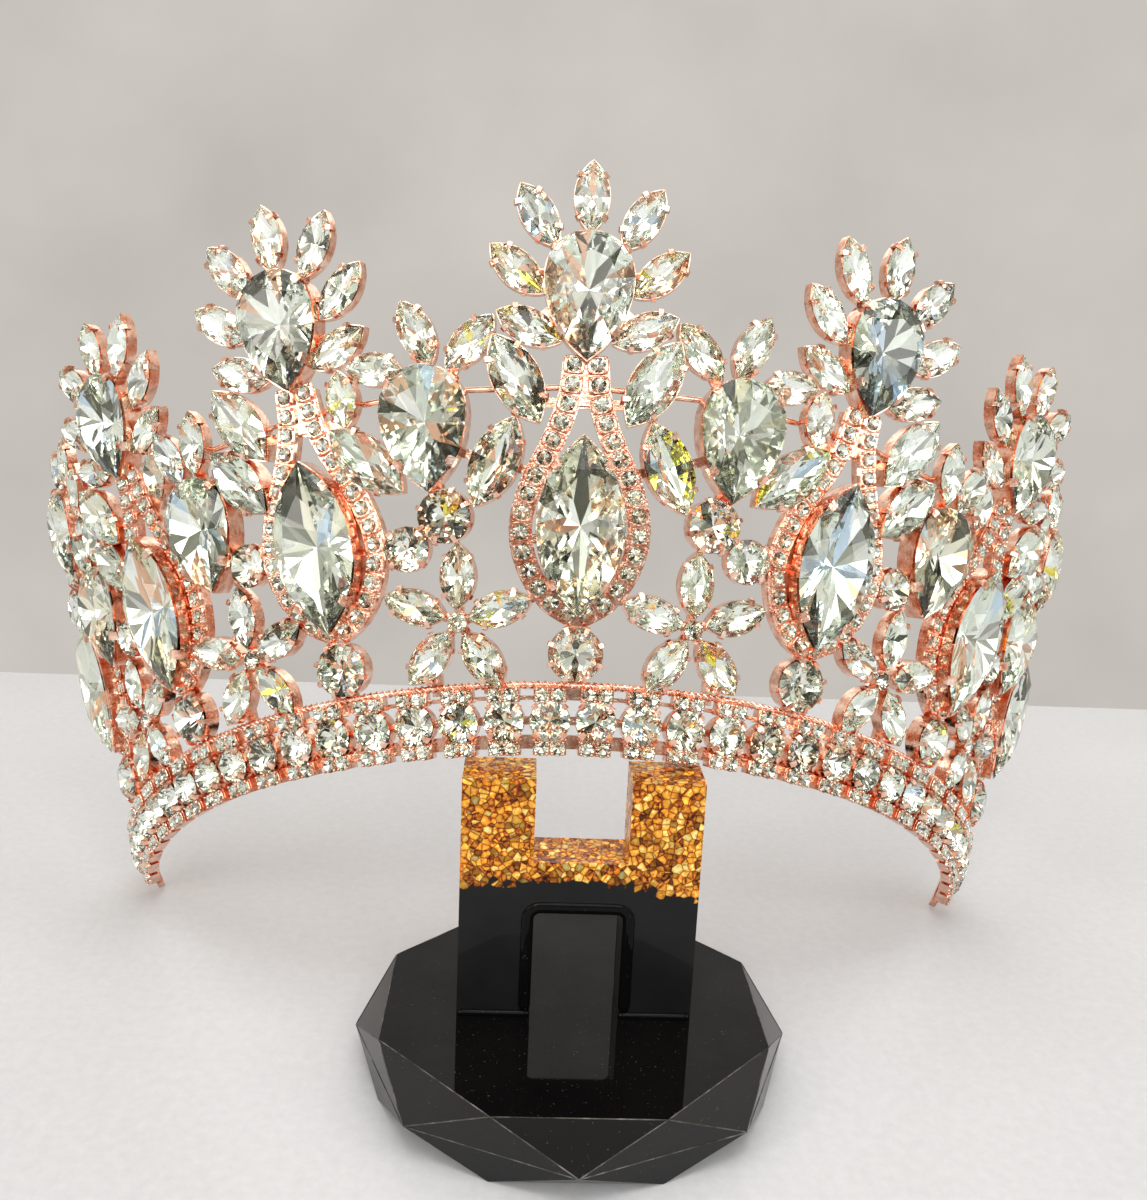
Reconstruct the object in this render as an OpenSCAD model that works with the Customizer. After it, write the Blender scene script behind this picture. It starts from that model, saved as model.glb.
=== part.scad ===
// Bridal crown of claw-set stones, resting on a plain display stand.
// Millimetres, +Z up. The origin is the middle of the stand's underside, and the front faces -Y.

/* [Band] */
// Radius of the circle through the middles of the band's round stones
band_r = 103; // [101:1:105]
// Number of round stones along the band
band_stones = 34; // [30:2:34]
// Distance between neighbouring round stones along the band
band_pitch = 8.7; // [8.6:0.1:8.9]
// Outward lean of the band from the crown's axis, in degrees
band_flare = 30; // [27:1:32]
// Length of the plain metal tab past the last round stone at each end
end_tab = 5.8; // [3:0.1:7]

/* [Motifs] */
// Outward lean of the front motif from the crown's axis, in degrees
flare_front = 33; // [30:1:34]
// How much less the rearmost motifs lean outward, in degrees
flare_loss = 9.5; // [6:0.5:11]
// Angles round the crown of the tall drop motifs, on each side of the front one
drop_angles = [24, 46, 68];
// Angles round the crown of the low sprays between the drops
spray_angles = [12, 35, 57];
// Angles round the crown of the five-petal flowers on the band
flower_angles = [11.5, 35, 57];

/* [Metal] */
// Wall left round a stone by its cup
cup_wall = 0.55; // [0.4:0.05:0.7]
// Thickness of the soldered links behind the cups
link_t = 1; // [0.8:0.1:1.2]
// Width of the small-stone border round each drop
border_w = 4.4; // [4:0.1:4.6]
// Diameter of the wire that runs behind the motifs
wire_d = 1.2; // [1:0.1:1.4]

/* [Stand] */
// Distance across opposite corners of the base's top face
base_top_d = 78.4; // [70:0.2:90]
// Distance across opposite corners of the base at its widest
base_wide_d = 85; // [78:0.5:98]
// Height of the base
base_h = 12.6; // [10:0.1:16]
// Height above the table at which the base is widest
base_wide_h = 5.8; // [3:0.1:8]
// Width of the upright
upright_w = 45; // [40:0.5:50]
// Thickness of the upright
upright_t = 11.1; // [9:0.1:12]
// Height of the upright's two tops above the table
upright_top = 60.8; // [60:0.1:61]

/* [Pose] */
// Backward tilt of the crown's circle as it rests on the stand, in degrees
crown_tilt = 44.6; // [44:0.1:45]
// Place of the band's front stone line from the origin
crown_at = [-2.4, 0.7, 69.8];

/* [Hidden] */
eps = 0.01;
back = -3.2;           // common back plane of all the cups, behind the stone line
low_back = -3.4;       // back face of the links in the sprays and flowers
rim_share = 0.13;      // share of a stone's depth that shows above its cup's rim
cavity_share = 0.91;   // inside of a cup against the outline of its stone
table_share = 0.6;     // table of a stone against its outline
solder_gap = 0.1;      // glue line between the upright and the base

// Named columns of the stone types: outline, width, length, height of the girdle above
// the stone line, height of the cut crown, depth of the pavilion, sides of the girdle.
KIND = 0;
WIDTH = 1;
LENGTH = 2;
GIRDLE = 3;
TOP = 4;
DEPTH = 5;
SIDES = 6;
drop_navette = ["navette", 16.3, 33, 2.6, 2.6, 4.6, 12];
large_pear = ["pear", 16.4, 23.3, 1.6, 2.4, 4.4, 12];
long_navette = ["navette", 8.8, 18, -0.1, 1.7, 2.7, 12];
raised_navette = ["navette", 8.8, 18, 1.1, 1.7, 2.7, 12];
petal = ["navette", 6.3, 12.8, -0.7, 1.3, 2.2, 10];
short_petal = ["navette", 6, 10.6, -0.5, 1.3, 2, 10];
large_round = ["round", 9.8, 9.8, 0.4, 1.8, 3.2, 12];
middle_round = ["round", 8.2, 8.2, 0, 1.6, 2.8, 10];
flower_petal = ["navette", 6.3, 12, -0.3, 1.3, 2.2, 10];
centre_round = ["round", 3.4, 3.4, -1, 0.9, 1.6, 10];
band_round = ["round", 7.2, 7.2, 0, 1.5, 2.8, 10];

// Named columns of a seat: stone type, sideways place, height, lean from upright in degrees.
STONE = 0;
U = 1;
H = 2;
LEAN = 3;
fan_side = [[petal, 9.8, 94, 32], [petal, 13.5, 83.9, 50], [petal, 10.9, 73.4, 67]];
fan_seats = concat([[petal, 0, 97.8, 0]], both_sides(fan_side));
pear_seat = [[large_pear, 0, 82.7, 0]];
navette_seat = [[drop_navette, 0, 36.6, 0]];
round_seat = [[large_round, 0, 12.6, 0]];
neck_long = [long_navette, 12.9, 63.6, 30];
neck_short = [short_petal, -9.8, 63.5, -3];

first_spray_petals = [[petal, 2.6, 73.9, 22], [petal, -7.5, 71.1, -47], [short_petal, 11.3, 67.8, 84]];
first_spray_pear = [[large_pear, 2.1, 59.2, 0]];
first_spray_navettes = [[long_navette, -10.6, 48.4, -30], [long_navette, 14, 50.6, 46]];
first_spray_rounds = [[large_round, -0.3, 39, 0], [middle_round, 7.5, 33.4, 0]];
other_spray_petals = [[petal, 1.5, 65.1, -9], [petal, 8.75, 64.3, 21]];
other_spray_pear = [[large_pear, 3.4, 49.6, 0]];
other_spray_navettes = [[raised_navette, -9.4, 53, 34]];
other_spray_rounds = [[middle_round, -5.5, 37, 0]];

flower_h = 19;         // height of a flower's middle
flower_reach = 8.6;    // from a flower's middle to the middle of a petal
flower_turn = 5;       // turn of the flower from upright, in degrees
flower_petals = [for (k = [0:4]) let (a = 72*k - flower_turn)
  [flower_petal, flower_reach*sin(a), flower_h + flower_reach*cos(a), a]];
flower_middle = [[centre_round, 0, flower_h, 0]];

// Named columns of the drop's border: height, half width of its middle line.
HEIGHT = 0;
HALF = 1;
border_rows = [[19.4, 0], [22.6, 5.4], [28.5, 9.5], [36, 11.2], [44, 9.5],
               [50.5, 6.5], [56, 4.2], [61.5, 2.7], [67, 2.2]];
border_steps = 3;      // straight pieces between two rows
border_front = -1.3;   // front face of the border
border_closed = 61;    // height above which the two strands are joined

drops = concat([0], both_ways(drop_angles));
sprays = both_ways(spray_angles);
flowers = both_ways(flower_angles);
wire_stops = [-68, -57, -46, -35, -24, -12, 0, 12, 24, 35, 46, 57, 68];
wire_h = 63;           // height of the wire behind the motifs
wire_w = -3.6;         // its place behind the stone line
wire_lap = 0.4;        // how far each straight piece of it runs into the next

small_row_h = 4.95;    // height of the small-stone rows above and below the round stones
small_pad = [6.2, 2.7, 2.1];
pad_w = -2.6;          // back face of the pads, behind the stone line
strip_t = 0.8;         // thickness of the flat strips behind the round stones
strip_w = -3;          // their back face, behind the stone line
strips = [[2.6, -5.3], [1.6, -0.8], [0.8, 3.9]];  // width and lower edge of each strip
tab_plate = [3.6, 12.2, 1.6];
tab_low = [-5.5, -3.3];  // its lower edge, and its back face behind the stone line
rope_h = 6.75;         // height of the wire along the band's top edge
rope_d = 1.1;
rope_w = -1.9;         // its place behind the stone line
half_arc = (band_stones*band_pitch/2 + end_tab)/band_r*180/PI;

notch_w = 17.8;        // opening between the upright's two tops
notch_floor = 44.5;
arch_w = 17;           // opening between the upright's two legs
arch_top = 34.6;
corner_r = 2;
upright_y = -0.65;     // middle of the upright's thickness

function both_ways(angles) = [for (a = angles, s = [-1, 1]) s*a];
function both_sides(seats) = [for (q = seats, s = [-1, 1]) [q[STONE], s*q[U], q[H], s*q[LEAN]]];
function flip(seats, s) = [for (q = seats) [q[STONE], s*q[U], q[H], s*q[LEAN]]];
function side(a) = a < 0 ? -1 : 1;
function flare(a) = flare_front - flare_loss*pow(a/68, 2);

// The seats of each motif, worked out from its angle round the crown
function neck_seats(a) = a == 0 ? both_sides([neck_long]) : flip([neck_long, neck_short], side(a));
function neck_long_seats(a) = [for (q = neck_seats(a)) if (q[STONE] == long_navette) q];
function neck_short_seats(a) = [for (q = neck_seats(a)) if (q[STONE] == short_petal) q];
function is_first(a) = abs(a) < 20;
function spray_part(a, first, other) = flip(is_first(a) ? first : other, side(a));
function spray_petal_seats(a) = spray_part(a, first_spray_petals, other_spray_petals);
function spray_pear_seats(a) = spray_part(a, first_spray_pear, other_spray_pear);
function spray_navette_seats(a) = spray_part(a, first_spray_navettes, other_spray_navettes);
function spray_round_seats(a) = spray_part(a, first_spray_rounds, other_spray_rounds);
function flower_seats(a) = concat(flip(flower_petals, side(a)), flower_middle);
function drop_seats(a) = concat(fan_seats, pear_seat, navette_seat, round_seat, neck_seats(a));
function spray_seats(a) = concat(spray_petal_seats(a), spray_pear_seats(a),
                                 spray_navette_seats(a), spray_round_seats(a));

// Radius of the two arcs of a navette with half width a and half length b
function side_r(a, b) = (a*a + b*b)/(2*a);

// Half width of a navette's or a pear's pointed part at distance y from its widest line
function half_at(a, b, y) = let (r = side_r(a, b)) a - r + sqrt(r*r - y*y);

// Girdle points, counterclockwise: k*n points of each outline
function navette_points(w, l, n) = let (a = w/2, b = l/2, m = n/2)
  [for (i = [0:n - 1]) let (right = i < m, y = b*((right ? i : i - m)*2/m - 1))
    right ? [half_at(a, b, y), y] : [-half_at(a, b, y), -y]];
function pear_points(w, l, n) = let (a = w/2, b = l - a, m = n/4)
  concat([for (i = [0:2*m - 1]) [a*cos(90*i/m), a*sin(90*i/m)]],
         [for (i = [0:m - 1]) let (y = -b*i/m) [-half_at(a, b, y), y]],
         [for (i = [m:-1:1]) let (y = -b*i/m) [half_at(a, b, y), y]]);
function round_points(w, n) = [for (i = [0:n - 1]) [w/2*cos(360*i/n), w/2*sin(360*i/n)]];
function girdle_points(s) = s[KIND] == "navette" ? navette_points(s[WIDTH], s[LENGTH], s[SIDES])
  : s[KIND] == "pear" ? pear_points(s[WIDTH], s[LENGTH], s[SIDES])
  : round_points(s[WIDTH], s[SIDES]);

module navette_outline(w, l) {
  r = side_r(w/2, l/2);
  intersection() {
    translate([r - w/2, 0]) circle(r, $fn = 96);
    translate([w/2 - r, 0]) circle(r, $fn = 96);
  }
}

module pear_outline(w, l) {
  a = w/2;
  b = l - a;
  circle(a, $fn = 96);
  intersection() {
    navette_outline(w, 2*b);
    translate([-a, -b - 1]) square([w, b + 1]);
  }
}

module outline(kind, w, l) {
  if (kind == "navette") navette_outline(w, l);
  if (kind == "pear") pear_outline(w, l);
  if (kind == "round") circle(d = w, $fn = 96);
}

// A cut stone: a table, a ring of triangular crown facets, and a pointed pavilion
module stone(s) {
  girdle = girdle_points(s);
  n = len(girdle);
  middle = s[KIND] == "pear" ? [0, -(s[LENGTH] - s[WIDTH])/3] : [0, 0];
  table = [for (i = [0:n - 1]) middle
    + ((girdle[i] + girdle[(i + 1) % n])/2 - middle)*table_share];
  points = concat([for (p = girdle) [p[0], p[1], 0]], [for (p = table) [p[0], p[1], s[TOP]]],
                  [[middle[0], middle[1], -s[DEPTH]]]);
  rows = [for (i = [0:n - 1]) let (j = (i + 1) % n)
    [[i, n + i, j], [j, n + i, n + j], [i, j, 2*n]]];
  faces = concat([[for (i = [n - 1:-1:0]) n + i]], [for (row = rows, f = row) f]);
  translate([0, 0, s[GIRDLE]]) polyhedron(points, faces);
}

// The cup's wall and the hollow that takes the stone's pavilion
module cup_body(s) {
  rim = s[GIRDLE] - rim_share*s[DEPTH];
  translate([0, 0, back]) linear_extrude(rim - back)
    outline(s[KIND], s[WIDTH] + cup_wall, s[LENGTH] + 1.6*cup_wall);
}

module cup_hollow(s) {
  translate([0, 0, back - 1]) linear_extrude(s[GIRDLE] - back + 1)
    outline(s[KIND], s[WIDTH]*cavity_share, s[LENGTH]*cavity_share);
}

module at_seat(q) translate([q[U], q[H], 0]) rotate([0, 0, -q[LEAN]]) children();

module on_motif(a) {
  rotate([0, 0, a]) translate([0, -band_r, 0]) rotate([90 + flare(a), 0, 0]) children();
}

module on_band(a) {
  rotate([0, 0, a]) translate([0, -band_r, 0]) rotate([90 + band_flare, 0, 0]) children();
}

module rest_on_stand() {
  translate(crown_at) rotate([-crown_tilt, 0, 0]) translate([0, band_r, 0]) children();
}

// A flat soldered link between two places; low is its back face
module link(p, q, w = 1.8, low = back) {
  d = q - p;
  translate([p[0], p[1], low]) rotate([0, 0, atan2(d[1], d[0])])
    translate([0, -w/2, 0]) cube([norm(d), w, link_t]);
}

function row_point(rows, i) = rows[max(0, min(len(rows) - 1, i))];
function blend(a, b, c, d, t) = 0.5*(2*b + (c - a)*t + (2*a - 5*b + 4*c - d)*t*t
                                     + (3*b - a - 3*c + d)*t*t*t);
border_line = concat([for (i = [0:len(border_rows) - 2], k = [0:border_steps - 1])
    blend(row_point(border_rows, i - 1), row_point(border_rows, i),
          row_point(border_rows, i + 1), row_point(border_rows, i + 2), k/border_steps)],
  [border_rows[len(border_rows) - 1]]);
function line_normal(i) = i == 0 ? [0, -1]
  : let (d = row_point(border_line, i + 1) - row_point(border_line, i - 1),
         n = [d[HEIGHT], -d[HALF]]) n/norm(n);
function shifted_line(by) = [for (i = [0:len(border_line) - 1])
  [border_line[i][HALF], border_line[i][HEIGHT]] + by*line_normal(i)];
function mirrored(points) = concat(points,
  [for (i = [len(points) - 1:-1:1]) [-points[i][0], points[i][1]]]);

// The pointed loop of metal that carries the small stones round a drop
module drop_border() {
  inner = [for (p = shifted_line(-border_w/2)) if (p[1] < border_closed && p[0] > -eps) p];
  translate([0, 0, back]) linear_extrude(border_front - back) difference() {
    polygon(mirrored(shifted_line(border_w/2)));
    polygon(mirrored(inner));
  }
}

module seats_in_metal(seats) {
  for (q = seats) at_seat(q) cup_body(q[STONE]);
}

module hollows(seats) {
  for (q = seats) at_seat(q) cup_hollow(q[STONE]);
}

module drop_metal(a) {
  seats = drop_seats(a);
  pear_middle = [pear_seat[0][U], pear_seat[0][H]];
  difference() {
    union() {
      seats_in_metal(seats);
      drop_border();
      for (q = fan_seats) link(pear_middle, [q[U], q[H]]);
      for (q = neck_seats(a)) link([0, q[H] - 4], [q[U], q[H] - 4]);
      link([-11, 34], [11, 34]);
      link([0, 4.5], [0, 10], 2.6);
      link([0, 60], [0, 70], 4);
    }
    hollows(seats);
  }
}

module spray_metal(a) {
  seats = spray_seats(a);
  s = side(a);
  pear = spray_pear_seats(a)[0];
  difference() {
    union() {
      seats_in_metal(seats);
      for (q = spray_petal_seats(a)) link([pear[U], pear[H]], [q[U], q[H]], low = low_back);
      for (q = concat(spray_navette_seats(a), [spray_round_seats(a)[0]]))
        link([pear[U], pear[H] - 6], [q[U], q[H]], low = low_back);
      if (is_first(a)) {
        link([0, 38.7], [s*7.5, 33.4], low = low_back);
        link([s*7.5, 33.4], [s*14.4, 32.4], low = low_back);
        link([s*14, 51.4], [s*20.2, 53], low = low_back);
        link([-s*10.6, 48.4], [-s*16.4, 46.4], low = low_back);
      } else {
        link([-s*5.4, 37.6], [-s*12.6, 37.6], low = low_back);
        link([s*9, 49], [s*17.4, 49], low = low_back);
        link([-s*9.4, 53], [-s*15.4, 50.4], low = low_back);
      }
    }
    hollows(seats);
  }
}

module flower_metal(a) {
  seats = flower_seats(a);
  difference() {
    union() {
      seats_in_metal(seats);
      for (q = flip(flower_petals, side(a))) link([0, flower_h], [q[U], q[H]], low = low_back);
      for (u = [-5, 5]) link([u, 5], [u, 12.5], 2.2, low = low_back);
      for (q = seats) if (abs(q[U]) > 7 && q[H] > flower_h)
        link([q[U], q[H]], [q[U]*1.75, q[H] + 1.6], 1.6, low = low_back);
    }
    hollows(seats);
  }
}

module band_ring(wide, h) {
  rotate([0, 0, -90 - half_arc]) rotate_extrude(angle = 2*half_arc, $fn = 180)
    translate([band_r, 0]) rotate(-band_flare) translate([strip_w, h]) square([strip_t, wide]);
}

module band_metal() {
  difference() {
    union() {
      for (i = [0:band_stones - 1]) on_band(band_angle(i)) {
        cup_body(band_round);
        for (s = [-1, 1]) translate([-small_pad[0]/2, s*small_row_h - small_pad[1]/2, pad_w])
          cube(small_pad);
      }
      for (strip = strips) band_ring(strip[0], strip[1]);
      rope_wire();
      for (s = [-1, 1]) on_band(s*half_arc) translate([s*tab_plate[0]/-2, 0, 0]) end_plate();
    }
    for (i = [0:band_stones - 1]) on_band(band_angle(i)) cup_hollow(band_round);
  }
}

// The plate that joins the strips at each end of the band
module end_plate() {
  translate([-tab_plate[0]/2, tab_low[0], tab_low[1]]) cube(tab_plate);
}

module rope_wire() {
  rotate([0, 0, -90 - half_arc]) rotate_extrude(angle = 2*half_arc, $fn = 180)
    translate([band_r, 0]) rotate(-band_flare) translate([rope_w, rope_h]) circle(d = rope_d, $fn = 24);
}

function band_angle(i) = (i - (band_stones - 1)/2)*band_pitch/band_r*180/PI;

function wire_point(a) = let (f = flare(a), r = band_r + wire_h*sin(f) + wire_w*cos(f))
  [r*sin(a), -r*cos(a), wire_h*cos(f) - wire_w*sin(f)];

module straight_wire(p, q) {
  d = q - p;
  translate(p) rotate([0, acos(d[2]/norm(d)), atan2(d[1], d[0])])
    translate([0, 0, -wire_lap]) cylinder(d = wire_d, h = norm(d) + 2*wire_lap, $fn = 24);
}

module back_wire() {
  for (i = [0:len(wire_stops) - 2])
    straight_wire(wire_point(wire_stops[i]), wire_point(wire_stops[i + 1]));
}

// All of the crown's metal is soldered together, so it is one solid
module crown_frame() {
  color("#d9937c") rest_on_stand() {
    band_metal();
    for (a = drops) on_motif(a) drop_metal(a);
    for (a = sprays) on_motif(a) spray_metal(a);
    for (a = flowers) on_motif(a) flower_metal(a);
    back_wire();
  }
}

module crystal() color("#e6e4da") rest_on_stand() children();

module stones_at(a, seats) {
  crystal() on_motif(a) for (q = seats) at_seat(q) stone(q[STONE]);
}

module band_stones() {
  crystal() for (i = [0:band_stones - 1]) on_band(band_angle(i)) stone(band_round);
}

module fan_petals() {
  for (a = drops) stones_at(a, concat(fan_seats, neck_short_seats(a)));
}

module spray_petals() {
  for (a = sprays) stones_at(a, spray_petal_seats(a));
}

module spray_rounds() {
  for (a = sprays) stones_at(a, spray_round_seats(a));
}

module flower_petals() {
  for (a = flowers) stones_at(a, flip(flower_petals, side(a)));
}

module flower_middles() {
  for (a = flowers) stones_at(a, flower_middle);
}

// Main stones that are nodes of their own, as pairs of an angle and a seat
neck_list = [for (a = drops, q = neck_long_seats(a)) [a, q]];
spray_list = [for (a = sprays, q = spray_navette_seats(a)) [a, q]];

module listed_stone(pair) stones_at(pair[0], [pair[1]]);

module stand_base() {
  corners = [for (k = [0:7]) 45*k + 22.5];
  function ring(d, turn, z) = [for (c = corners) [d/2*cos(c + turn), d/2*sin(c + turn), z]];
  points = concat(ring(base_top_d, 0, 0), ring(base_wide_d, 22.5, base_wide_h),
                  ring(base_top_d, 0, base_h));
  faces = concat([[for (k = [0:7]) k], [for (k = [7:-1:0]) 16 + k]],
    [for (k = [0:7]) let (j = (k + 1) % 8, f = [[k, 8 + k, j], [j, 8 + k, 8 + j],
      [16 + k, 16 + j, 8 + k], [16 + j, 8 + j, 8 + k]]) for (t = f) t]);
  color("#141414") polyhedron(points, faces);
}

module rounded_box(w, bottom, top, r) {
  translate([-w/2, bottom]) square([w, top - bottom - r]);
  translate([-w/2 + r, bottom]) square([w - 2*r, top - bottom]);
  for (s = [-1, 1]) translate([s*(w/2 - r), top - r]) circle(r, $fn = 48);
}

module stand_upright() {
  foot = base_h + solder_gap;
  color("#2b2118") translate([0, upright_y + upright_t/2, 0]) rotate([90, 0, 0])
    linear_extrude(upright_t) difference() {
      translate([-upright_w/2, foot]) square([upright_w, upright_top - foot]);
      translate([-notch_w/2, notch_floor]) square([notch_w, upright_top]);
      rounded_box(arch_w, foot - 1, arch_top, corner_r);
    }
}

stand_base();
stand_upright();
crown_frame();
band_stones();
fan_petals();
spray_petals();
spray_rounds();
flower_petals();
flower_middles();
for (i = [0:6]) {
  stones_at(drops[i], navette_seat);
  stones_at(drops[i], pear_seat);
  stones_at(drops[i], round_seat);
}
for (i = [0:5]) stones_at(sprays[i], spray_pear_seats(sprays[i]));
for (i = [0:7]) {
  listed_stone(neck_list[i]);
  listed_stone(spray_list[i]);
}
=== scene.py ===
"""Bridal crown on a display stand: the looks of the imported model."""
import math
import random
from collections import namedtuple

import bpy
from mathutils import Matrix, Vector


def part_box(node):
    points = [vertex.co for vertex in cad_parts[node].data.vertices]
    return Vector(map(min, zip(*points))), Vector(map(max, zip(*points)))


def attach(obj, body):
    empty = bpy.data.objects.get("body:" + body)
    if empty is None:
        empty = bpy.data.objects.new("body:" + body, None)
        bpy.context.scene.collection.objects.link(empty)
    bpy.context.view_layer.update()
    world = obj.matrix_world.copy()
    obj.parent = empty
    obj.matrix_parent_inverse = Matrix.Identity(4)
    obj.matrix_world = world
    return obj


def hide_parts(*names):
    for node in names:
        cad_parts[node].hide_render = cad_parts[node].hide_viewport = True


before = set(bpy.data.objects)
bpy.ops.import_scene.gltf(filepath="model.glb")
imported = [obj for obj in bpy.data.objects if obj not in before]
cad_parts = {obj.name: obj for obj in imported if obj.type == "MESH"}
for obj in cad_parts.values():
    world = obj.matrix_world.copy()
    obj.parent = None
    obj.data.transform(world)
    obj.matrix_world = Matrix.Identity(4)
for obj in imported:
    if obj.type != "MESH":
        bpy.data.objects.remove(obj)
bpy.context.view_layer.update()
MM = 0.001

# Camera, from the photograph: place in millimetres, angles in degrees, focal length in its pixels
CAMERA_AT = Vector((-12.7, -209.5, 142.6))
CAMERA_TURN = 2.54
CAMERA_DOWN = 13.2
CAMERA_ROLL = 2.65
FOCAL_PIXELS = 1184
PHOTO_WIDTH = 1147
SENSOR_WIDTH = 36

# The crown's band and its place on the stand, in millimetres and degrees, as in the part's source
BAND_RADIUS = 103
BAND_FLARE = 30
BAND_STONES = 34
BAND_PITCH = 8.7
BAND_END = 5.6
CROWN_TILT = 44.6
CROWN_AT = (-2.4, 0.7, 69.8)

# Angles of the motifs round the crown, and how far they flare in the middle and at the ends
DROPS = [0, -24, 24, -46, 46, -68, 68]
SPRAYS = [-12, 12, -35, 35, -57, 57]
FLOWERS = [-11.5, 11.5, -35, 35, -57, 57]
MIDDLE_FLARE = 33
END_FLARE_LOSS = 9.5
END_ANGLE = 68

# How much wider a fine-cut stone is than its solid, so that its edge covers most of the cup's rim,
# and how many times that it is longer
COVER = 0.42
COVER_LENGTHWAYS = 1.5

# Facets of a cut stone: how far out their corners are, as shares of the way to the girdle, and how
# high or low, as shares of the stone's height above the girdle and of its depth below it
TABLE_REACH = 0.60
STAR_REACH = 0.85
STAR_RISE = 0.56
HALF_REACH = 0.36
HALF_SINK = 0.67


def circle(count, start=0.0):
    """Angles of evenly spaced places round a circle, counterclockwise."""
    return [2 * math.pi * (j + start) / count for j in range(count)]


def ring(radius, count, height=0, start=0.0):
    """Evenly spaced points round a level circle."""
    return [Vector((radius * math.cos(t), radius * math.sin(t), height)) for t in circle(count, start)]


class Cut:
    """A kind of cut stone: its outline and size, how high it sits and how many main facets."""

    def __init__(self, shape, width, length, girdle, top, depth, mains, cover=COVER):
        self.shape = shape
        self.width = width + cover
        self.length = length + COVER_LENGTHWAYS * cover
        self.girdle = girdle
        self.top = top
        self.depth = depth
        self.mains = mains
        self.middle = Vector((0, (width - length) / 3 if shape == "pear" else 0, 0))

    def edge(self, y, half_length):
        """Half width of the pointed part at a distance y from its widest line."""
        half = self.width / 2
        bow = (half * half + half_length * half_length) / (2 * half)
        return half - bow + math.sqrt(max(0, bow * bow - y * y))

    def outline(self, count):
        """Points round the girdle, counterclockwise; the tips are always among them."""
        if self.shape == "round":
            return ring(self.width / 2, count)
        if self.shape == "navette":
            heights = [(2 * i / (count / 2) - 1) * self.length / 2 for i in range(count // 2)]
            right = [Vector((self.edge(y, self.length / 2), y, 0)) for y in heights]
            return right + [-p for p in right]
        point = self.length - self.width / 2
        head = ring(self.width / 2, count)[:count // 2]
        quarter = count // 4
        falls = [-point * i / quarter for i in range(quarter + 1)]
        left = [Vector((-self.edge(y, point), y, 0)) for y in falls[:-1]]
        right = [Vector((self.edge(y, point), y, 0)) for y in reversed(falls[1:])]
        return head + left + right


DROP_NAVETTE = Cut("navette", 16.3, 33, 2.6, 2.6, 4.6, 8)
LARGE_PEAR = Cut("pear", 16.4, 23.3, 1.6, 2.4, 4.4, 8)
LONG_NAVETTE = Cut("navette", 8.8, 18, -0.1, 1.7, 2.7, 6)
RAISED_NAVETTE = Cut("navette", 8.8, 18, 1.1, 1.7, 2.7, 6)
PETAL = Cut("navette", 6.3, 12.8, -0.7, 1.3, 2.2, 6)
SHORT_PETAL = Cut("navette", 6, 10.6, -0.5, 1.3, 2, 6)
LARGE_ROUND = Cut("round", 9.8, 9.8, 0.4, 1.8, 3.2, 8)
MIDDLE_ROUND = Cut("round", 8.2, 8.2, 0, 1.6, 2.8, 8)
FLOWER_PETAL = Cut("navette", 6.3, 12, -0.3, 1.3, 2.2, 6)
CENTRE_ROUND = Cut("round", 3.4, 3.4, -1, 0.9, 1.6, 6)
BAND_ROUND = Cut("round", 7.2, 7.2, 0, 1.5, 2.8, 8)
SMALL_ROUND = Cut("round", 3.06, 3.06, 0, 0.6, 0.55, 6, cover=0)

# A stone's place in its motif's upright plane, and how far it leans to the right, in degrees
Seat = namedtuple("Seat", "cut across height lean")


def flipped(seats, side):
    """The seats as they are for side 1, and mirrored left to right for side -1."""
    return [seat._replace(across=side * seat.across, lean=side * seat.lean) for seat in seats]


# The stones of a drop with its fan and neck, and of the two kinds of spray
FAN_TIP = Seat(PETAL, 0, 97.8, 0)
FAN_SIDE = [Seat(PETAL, 9.8, 94, 32), Seat(PETAL, 13.5, 83.9, 50), Seat(PETAL, 10.9, 73.4, 67)]
FAN = [FAN_TIP] + FAN_SIDE + flipped(FAN_SIDE, -1)
DROP_PARTS = {
    "drop_pear": Seat(LARGE_PEAR, 0, 82.7, 0),
    "drop_navette": Seat(DROP_NAVETTE, 0, 36.6, 0),
    "drop_round": Seat(LARGE_ROUND, 0, 12.6, 0),
}
NECK_LONG = Seat(LONG_NAVETTE, 12.9, 63.6, 30)
NECK_SHORT = Seat(SHORT_PETAL, -9.8, 63.5, -3)
FIRST_SPRAY = {
    "petals": [Seat(PETAL, 2.6, 73.9, 22), Seat(PETAL, -7.5, 71.1, -47), Seat(SHORT_PETAL, 11.3, 67.8, 84)],
    "pear": [Seat(LARGE_PEAR, 2.1, 59.2, 0)],
    "navettes": [Seat(LONG_NAVETTE, -10.6, 48.4, -30), Seat(LONG_NAVETTE, 14, 50.6, 46)],
    "rounds": [Seat(LARGE_ROUND, -0.3, 39, 0), Seat(MIDDLE_ROUND, 7.5, 33.4, 0)],
}
OTHER_SPRAY = {
    "petals": [Seat(PETAL, 1.5, 65.1, -9), Seat(PETAL, 8.75, 64.3, 21)],
    "pear": [Seat(LARGE_PEAR, 3.4, 49.6, 0)],
    "navettes": [Seat(RAISED_NAVETTE, -9.4, 53, 34)],
    "rounds": [Seat(MIDDLE_ROUND, -5.5, 37, 0)],
}

# Flowers: height of the middle, how far out the petals sit, and how far the flower is turned
FLOWER_HEIGHT = 19
FLOWER_REACH = 8.6
FLOWER_TURN = 5

# The four grains of metal round a flower's middle stone
BEAD_REACH = 2.0
BEAD_FOOT = -0.9
BEAD_RADIUS = 0.55
BEAD_HEIGHT = 0.9

# Middle line of a drop's border, as heights with the half width there, and the stones along it
BORDER_ROWS = [(19.4, 0), (22.6, 5.4), (28.5, 9.5), (36, 11.2), (44, 9.5),
               (50.5, 6.5), (56, 4.2), (61.5, 2.7), (67, 2.2)]
BORDER_STEPS = 20
BORDER_PITCH = 3.68
BORDER_START = 2.0
BORDER_SINK = -0.7

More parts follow.
